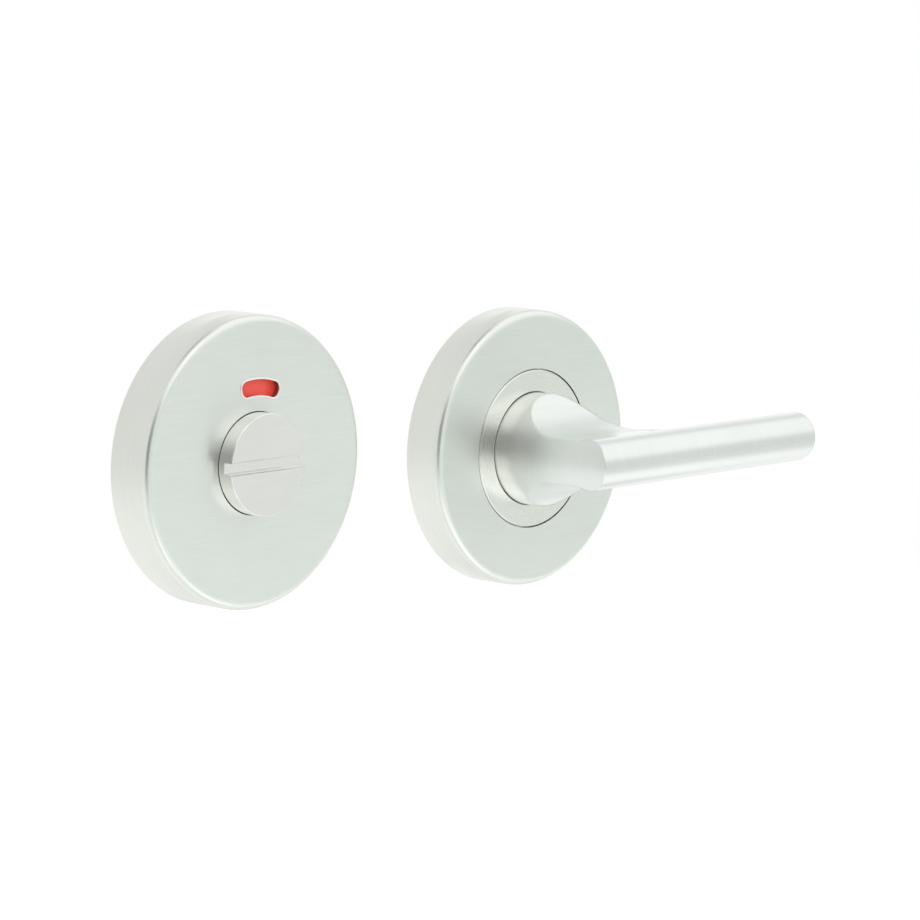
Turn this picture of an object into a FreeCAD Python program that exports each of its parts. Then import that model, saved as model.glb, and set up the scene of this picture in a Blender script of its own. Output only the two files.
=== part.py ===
import FreeCAD, Part
import math
import os

# Bathroom thumb turn lock: a turn and a coin release on a matching pair of round roses.
# Millimetres. The origin is the centre of the release rose on the door plane.
# +X runs towards the turn rose, +Y runs into the door and +Z is up, so both roses face -Y.
# A depth is a distance in front of the door plane, so a point at depth d has y = -d.

# Layout of the set
PAIR_SPACING = 73.5
PAIR_DROP = 4.3

# Covers, pressed from stainless sheet
ROSE_RADIUS = 26.0
RELEASE_ROSE_DEPTH = 9.0
TURN_ROSE_DEPTH = 8.0
COVER_WALL = 1.2
COVER_EDGE_RADIUS = 1.4
HOLE_EDGE_CHAMFER = 0.08
PRY_NOTCH_WIDTH = 5.0
PRY_NOTCH_DEPTH = 1.2

# Snap bead of the carrier and its groove in the cover
BEAD_DEPTH = 3.6
BEAD_HALF_WIDTH = 0.6
BEAD_HEIGHT = 0.35
SNAP_CLEARANCE = 0.15

# Fixing plate and screw holes
PLATE_THICKNESS = 1.5
SCREW_EDGE_DISTANCE = 5.65
SCREW_HOLE_RADIUS = 2.25
SCREW_HEAD_RADIUS = 3.8
POCKET_WALL = 1.0

# Moulded carrier
REAR_RECESS_RADIUS = 11.5
BOSS_WALL = 1.6
CARRIER_FLOOR = 1.5
CARRIER_RIM_WALL = 1.4
CARRIER_RIM_HEIGHT = 3.6
RIB_WIDTH = 1.2
RIB_HEIGHT = 1.4
RIB_ANGLES = (45, 90, 135, 225, 270, 315)
RELEASE_WEB = 2.0
TURN_WEB = 1.5
TURN_SPRING_GAP = 1.1

# Bearing stack behind each rose, the same on both
SHANK_END_DEPTH = 0.2
SHANK_CHAMFER = 0.3
GROOVE_LAND = 0.5
RING_THICKNESS = 0.8
RING_GROOVE = 0.7
RING_WALL = 1.9
RING_GAP_HALF_ANGLE = 20.0
RING_LUG_RADIUS = 1.4
RING_LUG_HOLE_RADIUS = 0.6
THRUST_WASHER_THICKNESS = 0.6
WASHER_RADIUS = 10.4
SPRING_THICKNESS = 0.3
SPRING_RADIUS = 9.8
BUSH_WALL = 1.4
BUSH_FLANGE_THICKNESS = 0.8
BUSH_FLANGE_RADIUS = 10.2
RUNNING_CLEARANCE = 0.05
SEAT_CLEARANCE = 0.03
SPRING_CLEARANCE = 0.05
END_FLOAT = 0.1

# Coin release knob
KNOB_RADIUS = 9.05
KNOB_PROTRUSION = 3.1
KNOB_EDGE_CHAMFER = 0.12
KNOB_HOLE_CLEARANCE = 0.1
RELEASE_SHANK_RADIUS = 7.0
COIN_SLOT_WIDTH = 2.0
COIN_SLOT_DEPTH = 1.75

# Indicator disc, its red field and the window over it
DISC_RADIUS = 16.6
DISC_THICKNESS = 0.8
DISC_CLEARANCE = 0.25
DISC_FLAT_OFFSET = 6.2
FIELD_THICKNESS = 0.2
FIELD_HALF_ANGLE = 45.0
FIELD_MARGIN = 1.0
WINDOW_CENTRE_RADIUS = 13.35
WINDOW_LENGTH = 9.35
WINDOW_HEIGHT = 3.15
WINDOW_CORNER_RADIUS = 1.4
WINDOW_TILT = 4.0

# Square sockets for the spindle
SPINDLE_SIZE = 5.0
SPINDLE_CLEARANCE = 0.1
RELEASE_SOCKET_DEPTH = 8.0
TURN_SOCKET_DEPTH = 14.0

# Bearing collar round the neck of the turn
COLLAR_RADIUS = 14.85
COLLAR_HOLE_CLEARANCE = 0.2
COLLAR_FLANGE_WIDTH = 0.85
COLLAR_EDGE_CHAMFER = 0.2
NECK_CLEARANCE = 0.1

# Turn lever
NECK_RADIUS = 10.6
TURN_SHANK_RADIUS = 7.5
GRIP_RADIUS = 4.7
GRIP_DEPTH = 30.4
GRIP_REACH = 51.5
GRIP_END_RADIUS = 0.8
STEM_HALF_HEIGHT = 4.2
SCOOP_RADIUS = 11.9
SCOOP_DEPTH = 22.2
ELBOW_RADIUS = 14.7
ELBOW_INSET = 0.05
LEAN_ANGLE = 5.5
LEAN_START_DEPTH = 9.0

# Centres of the two roses on the door plane
RELEASE_CENTRE = FreeCAD.Vector(0, 0, 0)
TURN_CENTRE = FreeCAD.Vector(PAIR_SPACING, 0, -PAIR_DROP)

# Sizes that follow from the ones above
COVER_BORE_RADIUS = ROSE_RADIUS - COVER_WALL
CARRIER_RADIUS = COVER_BORE_RADIUS - SNAP_CLEARANCE
RING_FRONT = SHANK_END_DEPTH + GROOVE_LAND + RING_THICKNESS
WASHER_FRONT = RING_FRONT + THRUST_WASHER_THICKNESS
RELEASE_COVER_INSIDE = RELEASE_ROSE_DEPTH - COVER_WALL
TURN_COVER_INSIDE = TURN_ROSE_DEPTH - COVER_WALL
FIELD_FRONT = RELEASE_COVER_INSIDE - DISC_CLEARANCE
DISC_FRONT = FIELD_FRONT - FIELD_THICKNESS
DISC_BACK = DISC_FRONT - DISC_THICKNESS
RELEASE_WEB_FRONT = DISC_BACK - END_FLOAT - BUSH_FLANGE_THICKNESS
RELEASE_WEB_BACK = RELEASE_WEB_FRONT - RELEASE_WEB
TURN_WEB_BACK = WASHER_FRONT + TURN_SPRING_GAP
TURN_WEB_FRONT = TURN_WEB_BACK + TURN_WEB
NECK_SHOULDER = TURN_WEB_FRONT + BUSH_FLANGE_THICKNESS + END_FLOAT
KNOB_FRONT = RELEASE_ROSE_DEPTH + KNOB_PROTRUSION
SOCKET_SIZE = SPINDLE_SIZE + SPINDLE_CLEARANCE
X_AXIS = FreeCAD.Vector(1, 0, 0)
Y_AXIS = FreeCAD.Vector(0, 1, 0)
Z_AXIS = FreeCAD.Vector(0, 0, 1)
ORIGIN = FreeCAD.Vector(0, 0, 0)


def outline(corners, place):
    """Closed wire through (a, b) or (a, b, corner radius) corners; place puts (a, b) in space."""
    edges = []
    arcs = []
    for index, corner in enumerate(corners):
        here = FreeCAD.Vector(corner[0], corner[1], 0)
        radius = corner[2] if len(corner) > 2 else 0
        if not radius:
            arcs.append((here, None, here))
            continue
        before = corners[index - 1]
        after = corners[(index + 1) % len(corners)]
        back = (FreeCAD.Vector(before[0], before[1], 0) - here).normalize()
        ahead = (FreeCAD.Vector(after[0], after[1], 0) - here).normalize()
        half_angle = back.getAngle(ahead) / 2
        reach = radius / math.tan(half_angle)
        bisector = (back + ahead).normalize()
        middle = here + bisector * (radius / math.sin(half_angle) - radius)
        arcs.append((here + back * reach, middle, here + ahead * reach))
    for index, (start, middle, end) in enumerate(arcs):
        previous_end = arcs[index - 1][2]
        if previous_end.distanceToPoint(start) > 1e-6:
            edges.append(Part.LineSegment(place(previous_end), place(start)).toShape())
        if middle is not None:
            edges.append(Part.Arc(place(start), place(middle), place(end)).toShape())
    return Part.Wire(edges)


def radial(point):
    """Place a (radius, depth) point in the plane that the turned pieces start from."""
    return FreeCAD.Vector(point.x, -point.y, 0)


def turned(corners):
    """Solid of revolution about the Y axis from (radius, depth) corners."""
    return Part.Face(outline(corners, radial)).revolve(ORIGIN, Y_AXIS, 360)


def ring(inner, outer, back, front):
    """Flat ring between two depths."""
    return turned([(inner, back), (outer, back), (outer, front), (inner, front)])


def disc(radius, back, front):
    """Round bar between two depths."""
    return Part.makeCylinder(radius, front - back, FreeCAD.Vector(0, -front, 0), Y_AXIS)


def block(x, depth, z):
    """Box from pairs of limits along X, depth and Z."""
    corner = FreeCAD.Vector(x[0], -depth[1], z[0])
    return Part.makeBox(x[1] - x[0], depth[1] - depth[0], z[1] - z[0], corner)


def sector(inner, outer, half_angle, back, front):
    """Part of a flat ring, centred straight above the axis."""
    section = outline([(inner, back), (outer, back), (outer, front), (inner, front)], radial)
    piece = Part.Face(section).revolve(ORIGIN, Y_AXIS, 2 * half_angle)
    piece.rotate(ORIGIN, Y_AXIS, -90 - half_angle)
    return piece


def around(piece, angle):
    """Copy of a piece turned about the Y axis."""
    copy = piece.copy()
    copy.rotate(ORIGIN, Y_AXIS, angle)
    return copy


def screw_places():
    """Centres of the two screw holes, level with the axis."""
    half = CARRIER_RADIUS - SCREW_EDGE_DISTANCE
    return (-half, half)


def cover(rose_depth, hole_radius):
    """Cup-shaped cover with a round hole, a snap groove inside and a pry notch below."""
    inside = rose_depth - COVER_WALL
    groove = BEAD_HALF_WIDTH + SNAP_CLEARANCE
    shell = turned([
        (COVER_BORE_RADIUS, 0),
        (ROSE_RADIUS, 0),
        (ROSE_RADIUS, rose_depth, COVER_EDGE_RADIUS),
        (hole_radius + HOLE_EDGE_CHAMFER, rose_depth),
        (hole_radius, rose_depth - HOLE_EDGE_CHAMFER),
        (hole_radius, inside),
        (COVER_BORE_RADIUS, inside),
        (COVER_BORE_RADIUS, BEAD_DEPTH + groove),
        (COVER_BORE_RADIUS + BEAD_HEIGHT, BEAD_DEPTH),
        (COVER_BORE_RADIUS, BEAD_DEPTH - groove),
    ])
    half = PRY_NOTCH_WIDTH / 2
    notch = block((-half, half), (0, PRY_NOTCH_DEPTH), (-ROSE_RADIUS - 1, -CARRIER_RADIUS))
    return shell.cut(notch)


def window():
    """Kidney-shaped cutter for the indicator window, a little right of the top."""
    half_angle = math.degrees(WINDOW_LENGTH / 2 / WINDOW_CENTRE_RADIUS)
    inner = WINDOW_CENTRE_RADIUS - WINDOW_HEIGHT / 2
    outer = WINDOW_CENTRE_RADIUS + WINDOW_HEIGHT / 2
    cutter = sector(inner, outer, half_angle, RELEASE_COVER_INSIDE - 1, RELEASE_ROSE_DEPTH + 1)
    corners = []
    for edge in cutter.Edges:
        run = edge.Vertexes[-1].Point - edge.Vertexes[0].Point
        if abs(run.x) < 1e-6 and abs(run.z) < 1e-6:
            corners.append(edge)
    return around(cutter.makeFillet(WINDOW_CORNER_RADIUS, corners), WINDOW_TILT)


def fixing_plate():
    """Round steel plate that the screws hold to the door."""
    plate = ring(REAR_RECESS_RADIUS, CARRIER_RADIUS, 0, PLATE_THICKNESS)
    for x in screw_places():
        hole = disc(SCREW_HOLE_RADIUS, -1, PLATE_THICKNESS + 1)
        plate = plate.cut(hole.translated(FreeCAD.Vector(x, 0, 0)))
    return plate


def carrier(web_back, web_front, bush_seat_radius):
    """Moulded body with the bearing web, the snap rim, ribs and screw pockets."""
    back = PLATE_THICKNESS
    floor = back + CARRIER_FLOOR
    rim_front = back + CARRIER_RIM_HEIGHT
    boss_radius = REAR_RECESS_RADIUS + BOSS_WALL
    rim_inside = CARRIER_RADIUS - CARRIER_RIM_WALL
    body = turned([
        (bush_seat_radius, web_back),
        (REAR_RECESS_RADIUS, web_back),
        (REAR_RECESS_RADIUS, back),
        (CARRIER_RADIUS, back),
        (CARRIER_RADIUS, BEAD_DEPTH - BEAD_HALF_WIDTH),
        (CARRIER_RADIUS + BEAD_HEIGHT, BEAD_DEPTH),
        (CARRIER_RADIUS, BEAD_DEPTH + BEAD_HALF_WIDTH),
        (CARRIER_RADIUS, rim_front),
        (rim_inside, rim_front),
        (rim_inside, floor),
        (boss_radius, floor),
        (boss_radius, web_front),
        (bush_seat_radius, web_front),
    ])
    pocket_front = min(rim_front, web_front)
    rib = block((boss_radius - 0.5, rim_inside + 0.5), (back + 0.5, floor + RIB_HEIGHT),
                (-RIB_WIDTH / 2, RIB_WIDTH / 2))
    pieces = [around(rib, angle) for angle in RIB_ANGLES]
    recess = disc(REAR_RECESS_RADIUS, 0, web_back)
    for x in screw_places():
        post = disc(SCREW_HEAD_RADIUS + POCKET_WALL, back, pocket_front)
        pieces.append(post.translated(FreeCAD.Vector(x, 0, 0)).cut(recess))
    body = body.fuse(pieces)
    for x in screw_places():
        hole = disc(SCREW_HOLE_RADIUS, 0, floor + 1)
        head = disc(SCREW_HEAD_RADIUS, floor, rim_front + 1)
        for cutter in (hole, head):
            body = body.cut(cutter.translated(FreeCAD.Vector(x, 0, 0)))
    return body.removeSplitter()


def bush(shank_radius, web_back, web_front):
    """Flanged bearing bush seated in the carrier web."""
    bore = shank_radius + RUNNING_CLEARANCE
    seat = shank_radius + BUSH_WALL
    flange_front = web_front + BUSH_FLANGE_THICKNESS
    return turned([
        (bore, web_back),
        (seat, web_back),
        (seat, web_front),
        (BUSH_FLANGE_RADIUS, web_front),
        (BUSH_FLANGE_RADIUS, flange_front),
        (bore, flange_front),
    ])


def curved_spring_washer(shank_radius, web_back):
    """Bowed spring washer between the carrier web and the thrust washer."""
    crest = web_back - SPRING_CLEARANCE
    foot = WASHER_FRONT + SPRING_CLEARANCE
    bow = crest - foot - SPRING_THICKNESS
    bend = (SPRING_RADIUS ** 2 + bow ** 2) / (2 * bow)
    centre = FreeCAD.Vector(-SPRING_RADIUS - 1, bend + SPRING_THICKNESS - crest, 0)
    length = 2 * SPRING_RADIUS + 2
    outside = Part.makeCylinder(bend + SPRING_THICKNESS, length, centre, X_AXIS)
    inside = Part.makeCylinder(bend, length, centre, X_AXIS)
    blank = ring(shank_radius + 4 * SPRING_CLEARANCE, SPRING_RADIUS, foot - 1, crest + 1)
    return blank.common(outside.cut(inside))


def thrust_washer(shank_radius):
    """Flat washer that turns with the shank."""
    return ring(shank_radius + RUNNING_CLEARANCE, WASHER_RADIUS, RING_FRONT, WASHER_FRONT)


def retaining_ring(shank_radius):
    """Open ring with two eyed lugs, sprung into the groove of the shank."""
    back = RING_FRONT - RING_THICKNESS
    inner = shank_radius - RING_GROOVE + SEAT_CLEARANCE
    lug_centre = inner + SEAT_CLEARANCE + RING_LUG_RADIUS
    gap_width = 2 * (inner + RING_WALL) * math.sin(math.radians(RING_GAP_HALF_ANGLE))
    body = ring(inner, inner + RING_WALL, back, RING_FRONT)
    body = body.cut(block((-gap_width / 2, gap_width / 2), (back - 1, RING_FRONT + 1),
                          (-inner - RING_WALL - 1, 0)))
    lug_x = gap_width / 2 + RING_LUG_RADIUS / 2
    lug_z = -math.sqrt(lug_centre ** 2 - lug_x ** 2)
    for side in (-1, 1):
        place = FreeCAD.Vector(side * lug_x, 0, lug_z)
        body = body.fuse(disc(RING_LUG_RADIUS, back, RING_FRONT).translated(place))
        body = body.cut(disc(RING_LUG_HOLE_RADIUS, back - 1, RING_FRONT + 1).translated(place))
    return body.removeSplitter()


def shank(shank_radius):
    """Corners of a shank's profile from its end to the front of its ring groove."""
    groove_back = SHANK_END_DEPTH + GROOVE_LAND
    groove_radius = shank_radius - RING_GROOVE
    return [
        (0, SHANK_END_DEPTH),
        (shank_radius - SHANK_CHAMFER, SHANK_END_DEPTH),
        (shank_radius, SHANK_END_DEPTH + SHANK_CHAMFER),
        (shank_radius, groove_back),
        (groove_radius, groove_back),
        (groove_radius, RING_FRONT),
        (shank_radius, RING_FRONT),
    ]


def spindle_socket(depth):
    """Square cutter for the spindle, open at the back."""
    half = SOCKET_SIZE / 2
    return block((-half, half), (SHANK_END_DEPTH - 1, depth), (-half, half))


def drive_flat():
    """Cutter for the flat that drives the disc, on the underside of the shank."""
    return block((-KNOB_RADIUS, KNOB_RADIUS), (DISC_BACK, DISC_FRONT), (-KNOB_RADIUS, -DISC_FLAT_OFFSET))


def release_knob():
    """Turned knob with a coin slot in front, a drive flat and a spindle socket behind."""
    body = turned(shank(RELEASE_SHANK_RADIUS) + [
        (RELEASE_SHANK_RADIUS, DISC_FRONT),
        (KNOB_RADIUS, DISC_FRONT),
        (KNOB_RADIUS, KNOB_FRONT - KNOB_EDGE_CHAMFER),
        (KNOB_RADIUS - KNOB_EDGE_CHAMFER, KNOB_FRONT),
        (0, KNOB_FRONT),
    ])
    slot = block((-KNOB_RADIUS - 1, KNOB_RADIUS + 1), (KNOB_FRONT - COIN_SLOT_DEPTH, KNOB_FRONT + 1),
                 (-COIN_SLOT_WIDTH / 2, COIN_SLOT_WIDTH / 2))
    return body.cut([slot, drive_flat(), spindle_socket(RELEASE_SOCKET_DEPTH)])


def indicator_disc():
    """Flat disc with a D-shaped bore, carried by the knob."""
    blank = disc(DISC_RADIUS, DISC_BACK, DISC_FRONT)
    bore_radius = RELEASE_SHANK_RADIUS + SEAT_CLEARANCE
    bore = disc(bore_radius, DISC_BACK - 1, DISC_FRONT + 1)
    below = block((-KNOB_RADIUS, KNOB_RADIUS), (DISC_BACK - 1, DISC_FRONT + 1),
                  (-KNOB_RADIUS, -DISC_FLAT_OFFSET - SEAT_CLEARANCE))
    return blank.cut(bore.cut(below))


def occupied_field():
    """Red sector on the face of the disc, centred under the window."""
    inner = KNOB_RADIUS + KNOB_HOLE_CLEARANCE + FIELD_MARGIN
    return sector(inner, DISC_RADIUS - FIELD_MARGIN / 2, FIELD_HALF_ANGLE, DISC_FRONT, FIELD_FRONT)


def turn_collar():
    """Bearing collar, flush with the cover and flanged behind it."""
    bore = NECK_RADIUS + NECK_CLEARANCE
    flange = COLLAR_RADIUS + COLLAR_HOLE_CLEARANCE + COLLAR_FLANGE_WIDTH
    return turned([
        (bore, TURN_WEB_FRONT),
        (flange, TURN_WEB_FRONT),
        (flange, TURN_COVER_INSIDE),
        (COLLAR_RADIUS, TURN_COVER_INSIDE),
        (COLLAR_RADIUS, TURN_ROSE_DEPTH - COLLAR_EDGE_CHAMFER),
        (COLLAR_RADIUS - COLLAR_EDGE_CHAMFER, TURN_ROSE_DEPTH),
        (bore + COLLAR_EDGE_CHAMFER, TURN_ROSE_DEPTH),
        (bore, TURN_ROSE_DEPTH - COLLAR_EDGE_CHAMFER),
    ])


def scoop_cutter(side):
    """Cutter for the hollow above or below the stem, with side +1 or -1."""
    axis_height = STEM_HALF_HEIGHT + SCOOP_RADIUS
    top = NECK_RADIUS + 1
    start_depth = SCOOP_DEPTH - math.sqrt(SCOOP_RADIUS ** 2 - (axis_height - top) ** 2)
    half_turn = math.atan2(SCOOP_DEPTH - start_depth, axis_height - top) / 2
    middle = (SCOOP_DEPTH - SCOOP_RADIUS * math.sin(half_turn),
              axis_height - SCOOP_RADIUS * math.cos(half_turn))
    far_depth = GRIP_DEPTH + 1

    def place(depth, height):
        return FreeCAD.Vector(-NECK_RADIUS - 1, -depth, side * height)

    corners = [(SCOOP_DEPTH, STEM_HALF_HEIGHT), (far_depth, STEM_HALF_HEIGHT), (far_depth, top),
               (start_depth, top)]
    edges = [Part.Arc(place(*corners[-1]), place(*middle), place(*corners[0])).toShape()]
    for first, second in zip(corners, corners[1:]):
        edges.append(Part.LineSegment(place(*first), place(*second)).toShape())
    face = Part.Face(Part.Wire(edges))
    return face.extrude(X_AXIS * (3 * NECK_RADIUS))


def grip():
    """Round grip bar from the neck's left side to its rounded end, as a turned piece along X."""
    left = -NECK_RADIUS - 1
    corners = [(left, 0), (GRIP_REACH, 0), (GRIP_REACH, GRIP_RADIUS, GRIP_END_RADIUS),
               (left, GRIP_RADIUS)]
    section = outline(corners, lambda point: FreeCAD.Vector(point.x, -GRIP_DEPTH, point.y))
    axis_point = FreeCAD.Vector(0, -GRIP_DEPTH, 0)
    bar = Part.Face(section).revolve(axis_point, X_AXIS, 360)
    beyond = block((left - 1, 0), (0, GRIP_DEPTH + 2 * GRIP_RADIUS), (-NECK_RADIUS, NECK_RADIUS))
    return bar.cut(beyond.cut(disc(NECK_RADIUS, -1, GRIP_DEPTH + 3 * GRIP_RADIUS)))


def leaning_neck():
    """Cylinder that leans from the neck's right side towards the grip, up to the grip's centre."""
    angle = math.radians(LEAN_ANGLE)
    base = FreeCAD.Vector(0, -LEAN_START_DEPTH, 0)
    direction = FreeCAD.Vector(math.sin(angle), -math.cos(angle), 0)
    body = Part.makeCylinder(NECK_RADIUS, GRIP_DEPTH, base, direction)
    wide = 2 * NECK_RADIUS
    return body.cut(block((-wide, wide), (GRIP_DEPTH, 2 * GRIP_DEPTH), (-wide, wide)))


def elbow():
    """Round inner bend, hardly thinner than the stem, from the neck into the grip."""
    tube_radius = STEM_HALF_HEIGHT - ELBOW_INSET
    centre_depth = GRIP_DEPTH - GRIP_RADIUS - ELBOW_RADIUS + ELBOW_INSET
    centre = FreeCAD.Vector(NECK_RADIUS + ELBOW_RADIUS, -centre_depth, 0)
    start = centre - X_AXIS * (ELBOW_RADIUS + tube_radius)
    circle = Part.Wire(Part.makeCircle(tube_radius, start, Y_AXIS))
    return Part.Face(circle).revolve(centre, Z_AXIS, 90)


def turn_lever():
    """Lever: shank, scooped neck and level grip in one casting."""
    neck = turned(shank(TURN_SHANK_RADIUS) + [
        (TURN_SHANK_RADIUS, NECK_SHOULDER),
        (NECK_RADIUS, NECK_SHOULDER),
        (NECK_RADIUS, GRIP_DEPTH),
        (0, GRIP_DEPTH),
    ])
    stem = neck.fuse(leaning_neck()).cut([scoop_cutter(1), scoop_cutter(-1)])
    body = stem.fuse([elbow(), grip()]).removeSplitter()
    return body.cut(spindle_socket(TURN_SOCKET_DEPTH))


def write(name, shape, centre):
    """Place a piece on its rose and write its file."""
    placed = shape.translated(centre)
    if len(placed.Solids) == 1:
        placed = placed.Solids[0]
    print(name, "volume", round(placed.Volume, 2), "valid", placed.isValid(), "solids", len(placed.Solids))
    placed.exportStep("parts/" + name + ".step")


def build_release():
    """Write the release half."""
    shank_radius = RELEASE_SHANK_RADIUS
    shell = cover(RELEASE_ROSE_DEPTH, KNOB_RADIUS + KNOB_HOLE_CLEARANCE).cut(window())
    seat = shank_radius + BUSH_WALL + SEAT_CLEARANCE
    pieces = {
        "release_cover": shell,
        "release_fixing_plate": fixing_plate(),
        "release_carrier": carrier(RELEASE_WEB_BACK, RELEASE_WEB_FRONT, seat),
        "release_knob": release_knob(),
        "indicator_disc": indicator_disc(),
        "occupied_field": occupied_field(),
        "release_bush": bush(shank_radius, RELEASE_WEB_BACK, RELEASE_WEB_FRONT),
        "release_spring_washer": curved_spring_washer(shank_radius, RELEASE_WEB_BACK),
        "release_thrust_washer": thrust_washer(shank_radius),
        "release_retaining_ring": retaining_ring(shank_radius),
    }
    for name, shape in pieces.items():
        write(name, shape, RELEASE_CENTRE)


def build_turn():
    """Write the turn half."""
    shank_radius = TURN_SHANK_RADIUS
    seat = shank_radius + BUSH_WALL + SEAT_CLEARANCE
    pieces = {
        "turn_cover": cover(TURN_ROSE_DEPTH, COLLAR_RADIUS + COLLAR_HOLE_CLEARANCE),
        "turn_fixing_plate": fixing_plate(),
        "turn_carrier": carrier(TURN_WEB_BACK, TURN_WEB_FRONT, seat),
        "turn_collar": turn_collar(),
        "turn_lever": turn_lever(),
        "turn_bush": bush(shank_radius, TURN_WEB_BACK, TURN_WEB_FRONT),
        "turn_spring_washer": curved_spring_washer(shank_radius, TURN_WEB_BACK),
        "turn_thrust_washer": thrust_washer(shank_radius),
        "turn_retaining_ring": retaining_ring(shank_radius),
    }
    for name, shape in pieces.items():
        write(name, shape, TURN_CENTRE)


os.makedirs("parts", exist_ok=True)
build_release()
build_turn()
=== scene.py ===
"""Looks of a bathroom thumb turn and coin release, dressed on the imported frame."""

import math

import bmesh
import bpy
from mathutils import Matrix, Vector


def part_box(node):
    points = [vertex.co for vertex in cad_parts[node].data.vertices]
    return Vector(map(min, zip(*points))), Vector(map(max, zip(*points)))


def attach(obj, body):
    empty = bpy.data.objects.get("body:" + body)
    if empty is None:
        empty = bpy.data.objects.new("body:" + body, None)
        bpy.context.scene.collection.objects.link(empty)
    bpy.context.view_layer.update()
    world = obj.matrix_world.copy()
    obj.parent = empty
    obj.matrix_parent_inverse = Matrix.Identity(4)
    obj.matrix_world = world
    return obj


bl_info = {
    "name": "Thumb turn set",
    "version": (1, 0, 0),
    "blender": (4, 5, 0),
    "location": "3D View > Sidebar > Turn set",
    "description": "Finishes, light and camera for a bathroom turn and release set",
    "category": "Object",
}

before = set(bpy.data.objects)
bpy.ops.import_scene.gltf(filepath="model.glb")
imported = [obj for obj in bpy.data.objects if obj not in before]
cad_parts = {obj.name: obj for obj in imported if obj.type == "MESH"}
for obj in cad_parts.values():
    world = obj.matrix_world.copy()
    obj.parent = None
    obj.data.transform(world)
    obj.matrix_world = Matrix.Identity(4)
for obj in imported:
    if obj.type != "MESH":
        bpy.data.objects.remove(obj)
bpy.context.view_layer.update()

LOW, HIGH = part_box("release_cover")
RELEASE_CENTRE = (LOW + HIGH) / 2
RELEASE_FACE = LOW.y
KNOB_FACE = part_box("release_knob")[0].y
LOW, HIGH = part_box("turn_cover")
TURN_CENTRE = (LOW + HIGH) / 2
PAIR_MIDDLE = (RELEASE_CENTRE.x + TURN_CENTRE.x) / 2
LOWEST_POINT = LOW.z

WHITE = (1, 1, 1, 1)


# Shader values

class Value:
    """Output of a shader node, used in ordinary expressions."""

    def __init__(self, tree, socket):
        self.tree = tree
        self.socket = socket

    def other(self, name):
        """Another output of the same node."""
        return Value(self.tree, self.socket.node.outputs[name])

    def __add__(self, other):
        return self.tree.maths("ADD", self, other)

    def __radd__(self, other):
        return self.tree.maths("ADD", other, self)

    def __sub__(self, other):
        return self.tree.maths("SUBTRACT", self, other)

    def __rsub__(self, other):
        return self.tree.maths("SUBTRACT", other, self)

    def __mul__(self, other):
        return self.tree.maths("MULTIPLY", self, other)

    def __rmul__(self, other):
        return self.tree.maths("MULTIPLY", other, self)

    def __abs__(self):
        return self.tree.maths("ABSOLUTE", self)


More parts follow.
